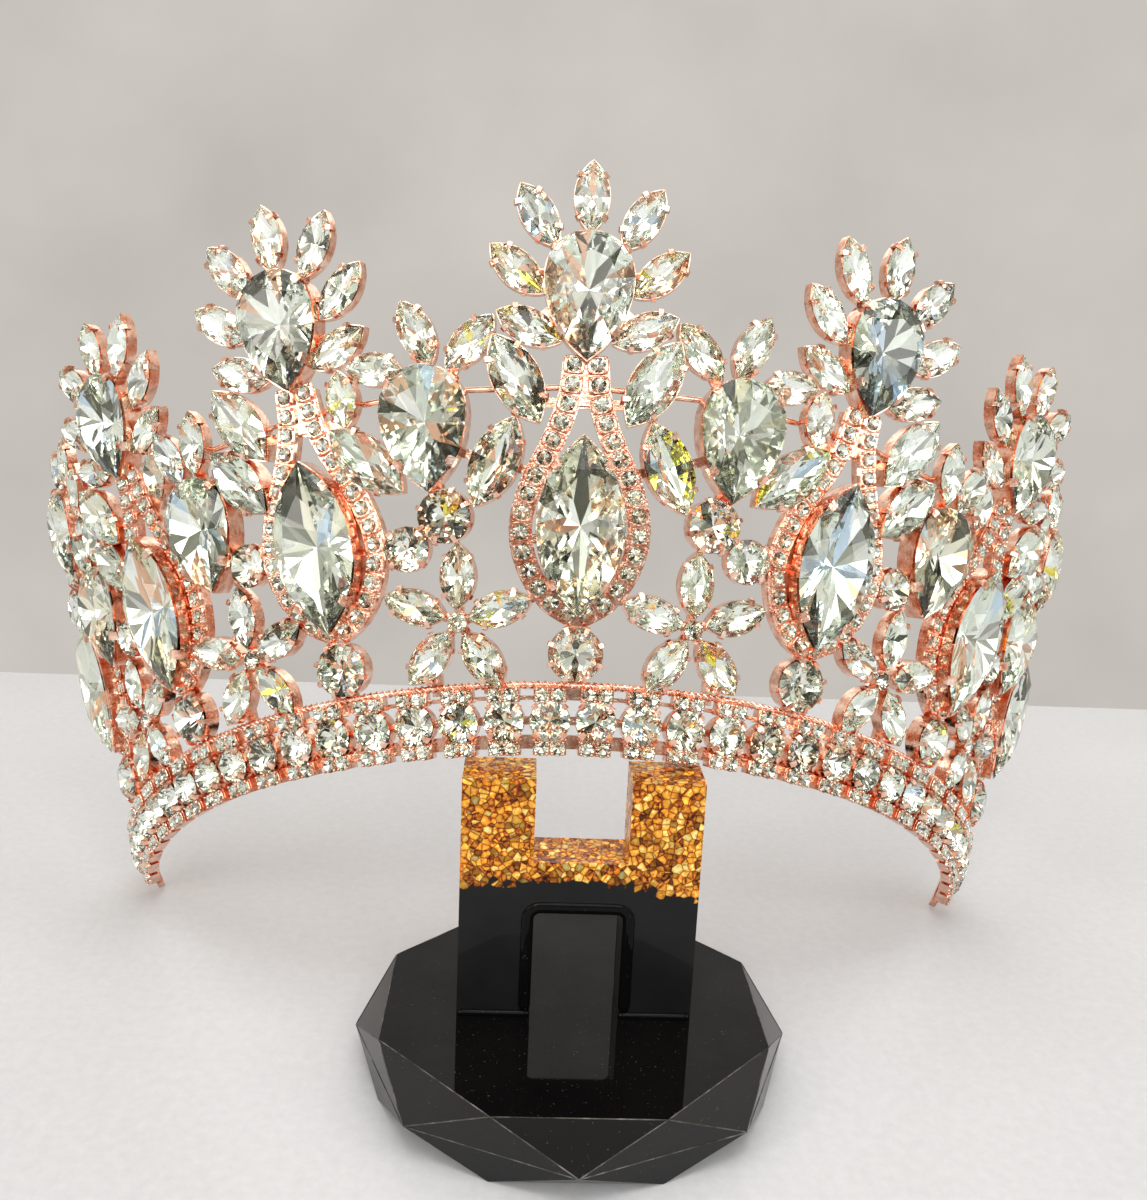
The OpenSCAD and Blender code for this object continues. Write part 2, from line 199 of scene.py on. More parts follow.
# Square cups of the small stones: half width, half height, underside, and where the grains are
SmallCup = namedtuple("SmallCup", "wide tall low grain_across grain_along")
BAND_CUP = SmallCup(1.5, 1.38, -0.75, 1.045, 1.059)
BORDER_CUP = SmallCup(2.05, 1.7, -0.65, 1.3475, 1.235)
SMALL_CUP_BORE = 1.46
SMALL_CUP_TOP = 0.05
SMALL_CUP_BEVEL = 0.18
SMALL_CUP_LIP = 0.9
GRAIN_RADIUS = 0.4
GRAIN_HEIGHT = 0.5

# Small stones of the band, in pairs above and below each round stone, from its middle
BAND_ROW = 4.97
BAND_PAIR = 1.52
BAND_LIFT = 0.1

# The twisted wire along the band's top edge, round the plain wire that the solids have
ROPE_HEIGHT = 6.75
ROPE_DEPTH = -1.9
ROPE_TURNS = 118
ROPE_COIL = 0.42
ROPE_STRAND = 0.4
ROPE_RINGS = 8

# The stand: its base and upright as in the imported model, and the arch between the upright's legs
base_low, base_high = (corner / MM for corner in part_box("stand_base"))
upright_low, upright_high = (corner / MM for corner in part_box("stand_upright"))
BASE_WIDE = base_high.x - base_low.x
BASE_HEIGHT = base_high.z
BASE_TOP = 78.4
BASE_WIDE_HEIGHT = 5.8
ARCH_HALF = 9.6
ARCH_FOOT = 12.9
ARCH_SPRING = 32.9
ARCH_CORNER = 2.4

# Bars laid on the stand: half sizes in depth and across their line, and how their ends taper
ARCH_RIM = (0.42, 1.1)
GLUE_RIM = (0.65, 0.7)
GLUE_ALONG = (8.7, 10, 15.5, 21, 22.3)
GLUE_HEIGHT = 13.0
EDGE_LINE = (0.1, 0.1)
TAPER_LENGTH = 0.1
TAPER_SIZE = 0.45

# Prongs: the places counted round a stone, how far in they reach, as a share of the way to the
# stone's middle and at most, and the thinner tip
PRONG_PLACES = 48
PRONG_SHARE = 0.24
PRONG_MOST = 1.15
PRONG_TIP_WIDTH = 0.7
PRONG_TIP_THICKNESS = 0.6


def side_of(angle):
    return -1 if angle < 0 else 1


def turn(angle, axis):
    return Matrix.Rotation(math.radians(angle), 4, axis)


def on_ring(angle, flare):
    """From a motif's upright plane to its place in the tilted crown, in millimetres."""
    round_band = turn(angle, "Z") @ Matrix.Translation((0, -BAND_RADIUS, 0)) @ turn(90 + flare, "X")
    front = Matrix.Translation((0, BAND_RADIUS, 0))
    return Matrix.Translation(CROWN_AT) @ turn(-CROWN_TILT, "X") @ front @ round_band


def on_motif(angle):
    return on_ring(angle, MIDDLE_FLARE - END_FLARE_LOSS * (angle / END_ANGLE) ** 2)


def on_band(angle):
    return on_ring(angle, BAND_FLARE)


def at_seat(across, height, lean):
    return Matrix.Translation((across, height, 0)) @ turn(-lean, "Z")


def band_angle(i):
    """Angle of one of the band's round stones round the crown, counted from the left end."""
    return math.degrees((i - (BAND_STONES - 1) / 2) * BAND_PITCH / BAND_RADIUS)


class Wire:
    """A socket in a node tree; sums and products of wires add Math nodes."""

    def __init__(self, nodes, socket):
        self.nodes = nodes
        self.socket = socket

    def step(self, operation, *terms):
        made = self.nodes.node("ShaderNodeMath", {"operation": operation}, dict(enumerate(terms)))
        return Wire(self.nodes, made.outputs[0])

    def __add__(self, other):
        return self.step("ADD", self, other)

    def __radd__(self, other):
        return self.step("ADD", other, self)

    def __sub__(self, other):
        return self.step("SUBTRACT", self, other)

    def __rsub__(self, other):
        return self.step("SUBTRACT", other, self)

    def __mul__(self, other):
        return self.step("MULTIPLY", self, other)

    def __rmul__(self, other):
        return self.step("MULTIPLY", other, self)

    def __gt__(self, other):
        return self.step("GREATER_THAN", self, other)


class Nodes:
    """A node tree whose nodes are added one call at a time."""

    space = "Object"

    def __init__(self, tree):
        self.tree = tree

    def node(self, kind, settings=None, sockets=None):
        made = self.tree.nodes.new(kind)
        for name, value in (settings or {}).items():
            if name == "stops":
                self.fill_ramp(made.color_ramp, value)
            else:
                setattr(made, name, value)
        self.feed(made, sockets or {})
        return made

    def fill_ramp(self, ramp, stops):
        while len(ramp.elements) < len(stops):
            ramp.elements.new(0.5)
        for element, (place, tone) in zip(ramp.elements, stops):
            element.position = place
            element.color = (*tone, 1)

    def feed(self, node, sockets):
        for key, value in sockets.items():
            if isinstance(value, Wire):
                self.tree.links.new(value.socket, node.inputs[key])
            else:
                node.inputs[key].default_value = value

    def out(self, node, key):
        return Wire(self, node.outputs[key])

    def place(self):
        return self.out(self.node("ShaderNodeTexCoord"), self.space)

    def axis(self, vector, number):
        return self.out(self.node("ShaderNodeSeparateXYZ", {}, {0: vector}), number)

    def noise(self, scale, detail=2, rough=0.5):
        sockets = {"Vector": self.place(), "Scale": scale, "Detail": detail, "Roughness": rough}
        return self.out(self.node("ShaderNodeTexNoise", {}, sockets), "Fac")

    def cells(self, feature, scale):
        settings = {"feature": feature, "voronoi_dimensions": "3D"}
        return self.node("ShaderNodeTexVoronoi", settings, {"Vector": self.place(), "Scale": scale})

    def ramp(self, value, stops):
        return self.out(self.node("ShaderNodeValToRGB", {"stops": stops}, {"Fac": value}), "Color")

    def mix(self, share, first, second, blend="MIX"):
        settings = {"data_type": "RGBA", "blend_type": blend}
        return self.out(self.node("ShaderNodeMix", settings, {0: share, 6: first, 7: second}), 2)

    def vector(self, operation, first, second):
        """A sum or difference of two vectors, or one vector scaled by a number."""
        key = "Scale" if operation == "SCALE" else 1
        made = self.node("ShaderNodeVectorMath", {"operation": operation}, {0: first, key: second})
        return self.out(made, "Vector")

    def unit(self, vector):
        made = self.node("ShaderNodeVectorMath", {"operation": "NORMALIZE"}, {0: vector})
        return self.out(made, "Vector")


class Look(Nodes):
    """A finish: a material with one shader."""

    def __init__(self, name):
        self.material = bpy.data.materials.new(name)
        self.material.use_nodes = True
        super().__init__(self.material.node_tree)
        self.shader = self.tree.nodes["Principled BSDF"]

    def bump(self, height, strength, distance):
        sockets = {"Height": height, "Strength": strength, "Distance": distance}
        return self.out(self.node("ShaderNodeBump", {}, sockets), "Normal")

    def facet_tone(self):
        return self.out(self.node("ShaderNodeAttribute", {"attribute_name": "facet_tone"}), "Color")

    def finish(self, **sockets):
        self.feed(self.shader, {name.replace("_", " "): value for name, value in sockets.items()})
        return self.material


def colour(red, green, blue):
    """A colour for a mix, which also takes how opaque it is."""
    return (red, green, blue, 1)


def grey(level):
    """The same number three times, for a ramp's stop or a vector."""
    return (level, level, level)


def rose_metal(name, tones):
    """Polished plate, a little cloudy, with a fine grain."""
    look = Look(name)
    cloud = look.noise(420, 4, 0.7)
    grain = look.noise(1700, 2, 0.6)
    tint = look.ramp(cloud, list(zip((0.34, 0.46, 0.58, 0.70), tones)))
    return look.finish(Base_Color=tint, Metallic=1.0, Roughness=0.05 + 0.18 * grain,
                       Normal=look.bump(grain, 0.45, 0.00012))


def clear_crystal():
    """The clear upper part of a stone, which lets its lower facets show."""
    look = Look("clear_crystal_crown")
    return look.finish(Base_Color=look.facet_tone(), Roughness=0.02 * look.noise(900), IOR=1.5,
                       Transmission_Weight=1.0)


def foil_with_painted_glints():
    """The foiled lower facets of a stone, each with a painted tone: painted glints and painted reflections,
    and painted shade on the dark ones.
    """
    look = Look("crystal_foil_painted_glints")
    return look.finish(Base_Color=look.facet_tone(), Metallic=1.0, Roughness=0.03 + 0.06 * look.noise(1500))


def black_resin():
    """Black resin with smears and dust on it, glossier on the base's flanks than on its top."""
    look = Look("black_resin_gloss")
    smear = look.noise(60, 5, 0.65)
    dust = look.noise(2200, 1, 0.4)
    specks = look.ramp(dust, [(0.73, grey(0)), (0.79, grey(1))])
    smears = look.mix(smear, colour(0.0015, 0.0015, 0.002), colour(0.005, 0.0045, 0.004))
    tint = look.mix(specks, smears, colour(0.05, 0.048, 0.045))
    just_below_top = (BASE_HEIGHT - 0.05) * MM
    flank = 1 - (look.axis(look.place(), 2) > just_below_top)
    return look.finish(Base_Color=tint, Roughness=0.35 + 0.3 * smear, Specular_IOR_Level=0.0,
                       Coat_Weight=0.12 + 0.12 * smear + 0.7 * flank, Coat_Roughness=0.04)


def worn_edge():
    """Dull, paler patches along the base's edges: rubbed wear, and painted highlight where the edges catch
    the light.
    """
    look = Look("worn_edge")
    edge_patches = look.noise(160, 4, 0.7)
    tint = look.ramp(edge_patches, [(0.38, (0.01, 0.01, 0.01)), (0.52, (0.07, 0.065, 0.06)),
                            (0.68, (0.22, 0.21, 0.20))])
    return look.finish(Base_Color=tint, Roughness=0.3 + 0.3 * edge_patches, Specular_IOR_Level=0.3)


# How many flakes and finer specks there are to a metre, and the line where the gold ends: its height
# in metres, its bow, its slope and how ragged it is
FLAKE_SCALE = 760
SPECK_SCALE = 1900
FLAKE_LINE = 0.0397
FLAKE_LINE_BOW = 5.5
FLAKE_LINE_SLOPE = 0.035
FLAKE_LINE_RAG = 0.0022
FLAKE_GOLDS = [(0.12, (0.10, 0.018, 0.002)), (0.3, (0.42, 0.10, 0.008)), (0.5, (0.86, 0.32, 0.025)),
               (0.72, (1.0, 0.56, 0.07)), (0.9, (1.0, 0.92, 0.36))]
# Dark gaps between the flakes, then painted shade rising to a painted highlight towards each flake's middle,
# so the flat flakes look rounded
FLAKE_GAPS_AND_PAINTED_ROUNDING = [(0.0, (0.16, 0.06, 0.02)), (0.05, (0.70, 0.56, 0.46)), (0.12, (1, 1, 1))]


def flaked_resin():
    """Resin packed with gold flakes above a ragged line, and black below it; each flake has painted shade at
    its edge and a painted highlight towards its middle, so it looks rounded.
    """
    look = Look("flaked_resin_gloss")
    flakes = look.cells("F1", FLAKE_SCALE)
    rims = look.out(look.cells("DISTANCE_TO_EDGE", FLAKE_SCALE), "Distance")
    specks = look.cells("F1", SPECK_SCALE)
    flake_colour = look.out(flakes, "Color")
    split = look.node("ShaderNodeSeparateColor", {}, {"Color": flake_colour})
    fine = look.node("ShaderNodeSeparateColor", {}, {"Color": look.out(specks, "Color")})
    # Flake tones differ at random; the distance from each flake's edge adds a painted highlight towards its
    # middle
    shade = 0.55 * look.out(split, "Red") + 0.33 * look.out(fine, "Green") + 0.5 * rims
    gold = look.mix(1.0, look.ramp(shade, FLAKE_GOLDS), look.ramp(rims, FLAKE_GAPS_AND_PAINTED_ROUNDING), "MULTIPLY")
    centre = look.node("ShaderNodeSeparateXYZ", {}, {0: look.out(flakes, "Position")})
    across = look.out(centre, 0)
    line = FLAKE_LINE - FLAKE_LINE_BOW * across * across - FLAKE_LINE_SLOPE * across
    ragged = FLAKE_LINE_RAG * look.out(split, "Blue")
    above = look.out(centre, 2) > (line + ragged)
    soot = look.mix(look.noise(70, 4, 0.6), colour(0.004, 0.004, 0.005), colour(0.014, 0.014, 0.014))
    lean = look.vector("SUBTRACT", flake_colour, grey(0.5))
    lean = look.vector("SCALE", lean, above * 0.9)
    tilt = look.vector("ADD", look.out(look.node("ShaderNodeNewGeometry"), "Normal"), lean)
    return look.finish(Base_Color=look.mix(above, soot, gold), Metallic=0.6 * above,
                       Roughness=0.3 + 0.05 * above, Specular_IOR_Level=0.1, Normal=look.unit(tilt),
                       Coat_Weight=0.12 + 0.2 * above, Coat_Roughness=0.02)


def pale_floor():
    """A pale, finely grained table."""
    look = Look("pale_table")
    grain = look.noise(420, 6, 0.7)
    cloud = look.noise(9, 3, 0.5)
    patches = look.ramp(0.6 * grain + 0.4 * cloud, [(0.3, grey(0)), (0.7, grey(1))])
    tint = look.mix(patches, colour(0.48, 0.485, 0.50), colour(0.59, 0.597, 0.61))
    return look.finish(Base_Color=tint, Roughness=0.35 + 0.3 * grain, Normal=look.bump(grain, 0.15, 0.0004))


# The finishes of the crown's metal, of the fine-cut stones and of the stand. The frame's metal is a
# deeper-toned copy of the polished metal: painted shade on the pads between and under the cups.
FRAME_METAL_PAINTED_SHADE = rose_metal("rose_metal_frame_painted_shade", [(0.58, 0.24, 0.14), (0.80, 0.44, 0.31), (0.89, 0.58, 0.45),
                                              (0.98, 0.80, 0.71)])
METAL = rose_metal("rose_metal_polish", [(0.46, 0.18, 0.10), (0.82, 0.46, 0.33), (0.94, 0.66, 0.53),
                                         (1.0, 0.88, 0.80)])
# The stones' foil carries painted glints, painted reflections and painted shade
CRYSTAL = [clear_crystal(), foil_with_painted_glints()]
BLACK = black_resin()
# Rubbed wear and painted highlight along the base's edges
EDGE_WEAR_AND_HIGHLIGHT = worn_edge()
FLAKED = flaked_resin()

# Tones of the stones' upper facets, which tint the glass, and painted glints, painted reflections and painted
# shade for the lower ones, with how often each comes
CROWN_TONE = (0.90, 0.935, 0.90)
PAINTED_GLINT_TONES = [
    (35, (0.87, 0.91, 0.83)),
    (27, (0.97, 0.99, 0.97)),
    (10, (0.92, 0.88, 0.72)),
    (9, (0.52, 0.54, 0.47)),
    (11, (0.13, 0.13, 0.10)),
    (6, (0.84, 0.52, 0.36)),
    (3, (0.62, 0.76, 0.92)),
    (1, (0.95, 0.84, 0.15)),
]
PETAL_PAINTED_GLINT_TONES = [
    (40, (0.87, 0.91, 0.83)),
    (37, (0.97, 0.99, 0.97)),
    (8, (0.92, 0.88, 0.72)),
    (5, (0.52, 0.54, 0.47)),
    (3, (0.13, 0.13, 0.10)),
    (4, (0.84, 0.52, 0.36)),
    (2, (0.62, 0.76, 0.92)),
    (1, (0.95, 0.84, 0.15)),
]
SMALL_PAINTED_GLINT_TONES = [
    (34, (0.76, 0.79, 0.70)),
    (30, (0.96, 0.97, 0.93)),
    (14, (0.42, 0.41, 0.34)),
    (8, (0.93, 0.70, 0.55)),
    (7, (0.12, 0.11, 0.08)),
]


def glint(chance, tones):
    """One painted glint tone for a facet, drawn by how often each comes."""
    return chance.choices([tone for _, tone in tones], [weight for weight, _ in tones])[0]


def painted_glint_tones_of(cut):
    """The painted glints and painted shade of a stone's lower facets: the petals and small navettes are the
    clearest.
    """
    if cut is SMALL_ROUND:
        return SMALL_PAINTED_GLINT_TONES
    return PETAL_PAINTED_GLINT_TONES if cut.shape == "navette" and cut is not DROP_NAVETTE else PAINTED_GLINT_TONES


class Shape:
    """Vertices and faces gathered for one piece, in millimetres, with a finish for each face."""

    def __init__(self, name):
        self.name = name
        self.points = []
        self.faces = []
        self.finishes = []
        self.tones = []

    def add(self, matrix, points, faces, finishes=None, tones=None):
        start = len(self.points)
        self.points += [matrix @ Vector(p) for p in points]
        self.faces += [tuple(start + i for i in face) for face in faces]
        self.finishes += finishes or [0] * len(faces)
        self.tones += tones or [grey(0.9)] * len(faces)

    def build(self, materials, slot, smooth=False, replaced=()):
        mesh = bpy.data.meshes.new(self.name)
        mesh.from_pydata([tuple(p * MM) for p in self.points], [], self.faces)
        for material in materials:
            mesh.materials.append(material)
        mesh.polygons.foreach_set("material_index", self.finishes)
        mesh.polygons.foreach_set("use_smooth", [smooth] * len(self.faces))
        # Each face's tone: the glass's tint on upper facets, and painted glints and painted shade on foiled
        # ones
        layer = mesh.attributes.new("facet_tone", "FLOAT_COLOR", "FACE")
        layer.data.foreach_set("color", [c for tone in self.tones for c in (*tone, 1)])
        mesh.update()
        piece = bpy.data.objects.new(self.name, mesh)
        bpy.context.scene.collection.objects.link(piece)
        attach(piece, "root")
        if replaced:
            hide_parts(*replaced)


def cut_stone(shape, matrix, cut, chance):
    """A brilliant-cut stone: table, stars, kites and halves above, halves and mains below."""
    mains = cut.mains
    girdle = cut.outline(2 * mains)
    middle = cut.middle
    lift = Vector((0, 0, cut.girdle))

    def corners(first, share, height):
        """Facet corners towards every other girdle point."""
        return [middle + (p - middle) * share + Vector((0, 0, height)) + lift for p in girdle[first::2]]

    points = [p + lift for p in girdle]
    points += corners(0, TABLE_REACH, cut.top)
    points += corners(1, STAR_REACH, cut.top * STAR_RISE)
    points += corners(1, HALF_REACH, -cut.depth * HALF_SINK)
    points += [middle + Vector((0, 0, -cut.depth)) + lift]
    table, star, half, culet = 2 * mains, 3 * mains, 4 * mains, 5 * mains
    crown = [tuple(range(table, table + mains))]
    under = []
    for i in range(mains):
        after = (i + 1) % mains
        before = (i - 1) % mains
        rim, rim_half, rim_after = 2 * i, 2 * i + 1, (2 * i + 2) % (2 * mains)
        crown += [(table + i, star + i, table + after), (table + i, star + before, rim, star + i),
                  (star + i, rim, rim_half), (star + i, rim_half, rim_after)]
        under += [(rim, half + i, rim_half), (rim_half, half + i, rim_after),
                  (rim, half + before, culet, half + i)]
    # Upper facets take the glass's tint, and each lower facet one painted tone: painted glints, painted
    # reflections and painted shade
    tones = [CROWN_TONE] * len(crown) + [glint(chance, painted_glint_tones_of(cut)) for _ in under]
    shape.add(matrix, points, crown + under, [0] * len(crown) + [1] * len(under), tones)


def ring_walls(rings, sides, closed=False):
    """Faces between neighbouring rings of points, outside out where they climb counterclockwise."""
    return [(sides * k + j, sides * k + (j + 1) % sides,
             sides * ((k + 1) % rings) + (j + 1) % sides, sides * ((k + 1) % rings) + j)
            for k in range(rings if closed else rings - 1) for j in range(sides)]


def tube(shape, matrix, spine, across, thick, side, sides=6):
    """A closed bar along a spine; across and thick are half sizes at each of its points."""
    reach = 1 / math.cos(math.pi / sides)
    points = []
    for k, centre in enumerate(spine):
        ahead = spine[min(k + 1, len(spine) - 1)] - spine[max(k - 1, 0)]
        wide = side * (reach * across[k])
        deep = side.cross(ahead).normalized() * (reach * thick[k])
        points += [centre + wide * math.cos(t) + deep * math.sin(t) for t in circle(sides, 0.5)]
    faces = []
    for k in range(len(spine) - 1):
        for j in range(sides):
            a, b = k * sides + j, k * sides + (j + 1) % sides
            faces.append((a, a + sides, b + sides, b))
    faces.append(tuple(range(sides)))
    faces.append(tuple(range(len(points) - 1, len(points) - sides - 1, -1)))
    shape.add(matrix, points, faces)


def bar(shape, spine, flat, deep, side, sides=10):
    """A rounded bar of even size along a spine, with short tapered ends."""
    first = spine[0].lerp(spine[1], TAPER_LENGTH)
    last = spine[-1].lerp(spine[-2], TAPER_LENGTH)
    spine = [spine[0], first] + spine[1:-1] + [last, spine[-1]]
    shares = [TAPER_SIZE] + [1] * (len(spine) - 2) + [TAPER_SIZE]
    across = [flat * share for share in shares]
    thick = [deep * share for share in shares]
    tube(shape, Matrix.Identity(4), spine, across, thick, side, sides)


def claw(shape, matrix, cut, place, out, wide, thick):
    """A prong from the cup's wall over the girdle at one place of the outline.

    Its profile says how far outside that place it is, and how high above the girdle.
    """
    side = Vector((-out.y, out.x, 0))
    reach = (place - cut.middle).length
    slope = cut.top / ((1 - TABLE_REACH) * reach)
    tip = min(PRONG_SHARE * reach, PRONG_MOST)
    profile = [(0.32, -1.3), (0.38, -0.2), (0.18, 0.35),
               (-0.55 * tip, 0.55 * slope * tip + 0.3), (-tip, slope * tip + 0.12)]
    spine = [place + out * away + Vector((0, 0, cut.girdle + high)) for away, high in profile]
    across = [wide] * 4 + [PRONG_TIP_WIDTH * wide]
    deep = [thick] * 4 + [PRONG_TIP_THICKNESS * thick]
    tube(shape, matrix, spine, across, deep, side, 4)


def outward(outline, i):
    """The direction straight out of an outline at one of its points."""
    along = outline[(i + 1) % len(outline)] - outline[i - 1]
    return Vector((along.y, -along.x, 0)).normalized()


def claw_spots(cut):
    """Places of a stone's prongs round it, with half their width and half their thickness."""
    if cut is LARGE_ROUND:
        return [(i, 0.42, 0.26) for i in range(3, PRONG_PLACES, 6)]
    if cut is CENTRE_ROUND:
        return []
    if cut.shape == "round":
        return [(i, 0.55, 0.24) for i in (6, 18, 30, 42)]
    if cut.shape == "pear":
        return [(32, 0.95, 0.3), (40, 0.95, 0.3), (5, 0.85, 0.3), (19, 0.85, 0.3)]
    if cut is DROP_NAVETTE:
        return [(i, 0.95, 0.3) for i in (4, 20, 28, 44)]
    return [(i, 0.45, 0.24) for i in (5, 19, 29, 43)]


def claws_of(shape, matrix, cut):
    outline = cut.outline(PRONG_PLACES)
    for i, wide, thick in claw_spots(cut):
        claw(shape, matrix, cut, outline[i], outward(outline, i), wide, thick)


def bead(shape, matrix, centre, radius, tall):
    """A small rounded grain of metal; its rings are shares of its height and of its radius."""
    sides = 6
    rings = ((-0.5, 0.85), (0.35, 0.85), (0.85, 0.5))
    points = [centre + p for height, share in rings for p in ring(radius * share, sides, tall * height)]
    points.append(centre + Vector((0, 0, tall)))
    top = sides * (len(rings) - 1)
    faces = ring_walls(len(rings), sides)
    faces += [(top + j, top + (j + 1) % sides, top + sides) for j in range(sides)]
    faces.append(tuple(range(sides - 1, -1, -1)))
    shape.add(matrix, points, faces)


def small_cup(shape, matrix, cup):
    """A square cup with rounded corners and a round bore, for one small stone."""
    count = 16
    squareness = 6
    points = []
    for reach, height in ((1, cup.low), (1, SMALL_CUP_TOP - SMALL_CUP_BEVEL), (SMALL_CUP_LIP, SMALL_CUP_TOP)):
        for t in circle(count):
            swell = (math.cos(t) ** squareness + math.sin(t) ** squareness) ** (-1 / squareness)
            points.append(Vector((cup.wide * reach * swell * math.cos(t),
                                  cup.tall * reach * swell * math.sin(t), height)))
    for height in (SMALL_CUP_TOP, cup.low):
        points += ring(SMALL_CUP_BORE, count, height)
    shape.add(matrix, points, ring_walls(5, count, closed=True))


def spray_at(angle):
    parts = FIRST_SPRAY if abs(angle) == abs(SPRAYS[0]) else OTHER_SPRAY
    return {name: flipped(seats, side_of(angle)) for name, seats in parts.items()}


def neck_at(angle):
    if angle == 0:
        return [NECK_LONG] + flipped([NECK_LONG], -1)
    return flipped([NECK_LONG, NECK_SHORT], side_of(angle))


def flower_at(angle):
    seats = []
    for k in range(5):
        lean = 72 * k - FLOWER_TURN
        t = math.radians(lean)
        seats.append(Seat(FLOWER_PETAL, FLOWER_REACH * math.sin(t),
                          FLOWER_HEIGHT + FLOWER_REACH * math.cos(t), lean))
    return flipped(seats, side_of(angle))


def seat_stones():
    """The seats of every main stone with their places in the crown, for each node of stones."""
    groups = {}

    def take(node, matrix, seats):
        groups.setdefault(node, []).extend((matrix, seat) for seat in seats)

    necks = 0
    for i, angle in enumerate(DROPS):
        neck = neck_at(angle)
        take("fan_petals", on_motif(angle), FAN + [q for q in neck if q.cut is SHORT_PETAL])
        for part, seat in DROP_PARTS.items():
            take(f"{part}_{i}", on_motif(angle), [seat])
        for seat in [q for q in neck if q.cut is LONG_NAVETTE]:
            take(f"neck_navette_{necks}", on_motif(angle), [seat])
            necks += 1
    leaves = 0
    for i, angle in enumerate(SPRAYS):
        spray = spray_at(angle)
        take("spray_petals", on_motif(angle), spray["petals"])
        take("spray_rounds", on_motif(angle), spray["rounds"])
        take(f"spray_pear_{i}", on_motif(angle), spray["pear"])
        for seat in spray["navettes"]:
            take(f"spray_navette_{leaves}", on_motif(angle), [seat])
            leaves += 1
    for angle in FLOWERS:
        take("flower_petals", on_motif(angle), flower_at(angle))
        take("flower_middles", on_motif(angle), [Seat(CENTRE_ROUND, 0, FLOWER_HEIGHT, 0)])
    for i in range(BAND_STONES):
        take("band_stones", on_band(band_angle(i)), [Seat(BAND_ROUND, 0, 0, 0)])
    return groups


def build_stones(groups):
    """For each node of stones, one piece with the fine-cut stones that stand for it."""
    for node, placed in groups.items():
        shape = Shape(node + "_cut")
        chance = random.Random(shape.name)
        for matrix, seat in placed:
            cut_stone(shape, matrix @ at_seat(seat.across, seat.height, seat.lean), seat.cut, chance)
        shape.build(CRYSTAL, "clear_crystal", replaced=[node])


def build_claws(groups):
    """Prongs over the edge of every main stone, as one piece for each part of the crown."""
    pieces = {part: Shape(part + "_claws") for part in ("drop", "spray", "flower", "band")}
    for node, placed in groups.items():
        part = node.split("_")[0]
        shape = pieces["drop" if part in ("fan", "neck") else part]
        for matrix, seat in placed:
            claws_of(shape, matrix @ at_seat(seat.across, seat.height, seat.lean), seat.cut)
            if seat.cut is CENTRE_ROUND:
                for p in ring(BEAD_REACH, 4, BEAD_FOOT, 0.5):
                    bead(shape, matrix, p + Vector((0, seat.height, 0)), BEAD_RADIUS, BEAD_HEIGHT)
    for shape in pieces.values():
        shape.build([METAL], "rose_metal")


class SmallStones:
    """The small stones of one part of the crown, with their square cups and grains of metal."""

    def __init__(self, part, seed, cup):
        self.stones = Shape(part + "_small_stones")
        self.cups = Shape(part + "_small_cups")
        self.grains = Shape(part + "_grains")
        self.chance = random.Random(seed)
        self.cup = cup

    def add(self, seat):
        cut_stone(self.stones, seat, SMALL_ROUND, self.chance)
        small_cup(self.cups, seat, self.cup)
        for across in (-1, 1):
            for along in (-1, 1):
                spot = Vector((across * self.cup.grain_across, along * self.cup.grain_along, SMALL_CUP_TOP))
                bead(self.grains, seat, spot, GRAIN_RADIUS, GRAIN_HEIGHT)

    def build(self):
        self.stones.build(CRYSTAL, "clear_crystal")
        self.cups.build([METAL], "rose_metal")
        self.grains.build([METAL], "rose_metal", smooth=True)


def build_band_trim():
    """Pairs of small stones above and below the band's round stones."""
    trim = SmallStones("band", "band trim", BAND_CUP)
    for i in range(BAND_STONES):
        for height in (-BAND_ROW, BAND_ROW):
            for across in (-BAND_PAIR, BAND_PAIR):
                trim.add(on_band(band_angle(i)) @ Matrix.Translation((across, height, BAND_LIFT)))
    trim.build()


def build_rope():
    """Two wires twisted along the band's upper edge."""
    shape = Shape("band_rope")
    sides = 6
    steps = ROPE_TURNS * ROPE_RINGS
    reach = math.degrees((BAND_STONES * BAND_PITCH / 2 + BAND_END) / BAND_RADIUS)
    for strand in (0, math.pi):
        points = []
        for k in range(steps + 1):
            matrix = on_band(-reach + 2 * reach * k / steps)
            t = strand + 2 * math.pi * ROPE_TURNS * k / steps
            centre = Vector((0, ROPE_HEIGHT + ROPE_COIL * math.cos(t), ROPE_DEPTH + ROPE_COIL * math.sin(t)))
            points += [matrix @ (centre + Vector((0, ROPE_STRAND * math.cos(s), ROPE_STRAND * math.sin(s))))
                       for s in circle(sides)]
        faces = ring_walls(steps + 1, sides)
        faces += [tuple(range(sides - 1, -1, -1)), tuple(range(len(points) - sides, len(points)))]
        shape.add(Matrix.Identity(4), points, faces)
    shape.build([METAL], "rose_metal", smooth=True)


def smooth_between(a, b, c, d, t):
    """A point between b and c on the smooth curve through four values in a row."""
    return 0.5 * (2 * b + (c - a) * t + (2 * a - 5 * b + 4 * c - d) * t * t
                  + (3 * b - a - 3 * c + d) * t ** 3)


def border_line():
    """Middle line of a drop's border as close points, from its lower tip to its neck."""
    rows = BORDER_ROWS
    last = len(rows) - 1
    line = []
    for i in range(last):
        near = [rows[max(0, min(last, i + k))] for k in (-1, 0, 1, 2)]
        for k in range(BORDER_STEPS):
            height, half = (smooth_between(*values, k / BORDER_STEPS) for values in zip(*near))
            line.append(Vector((half, height, 0)))
    height, half = rows[-1]
    return line + [Vector((half, height, 0))]


def spaced(line, pitch, start):
    """Places at an even pitch along a line, each with its direction."""
    walked = 0
    wanted = start
    found = []
    for p, q in zip(line, line[1:]):
        length = (q - p).length
        while wanted <= walked + length:
            found.append((p.lerp(q, (wanted - walked) / length), (q - p).normalized()))
            wanted += pitch
        walked += length
    return found


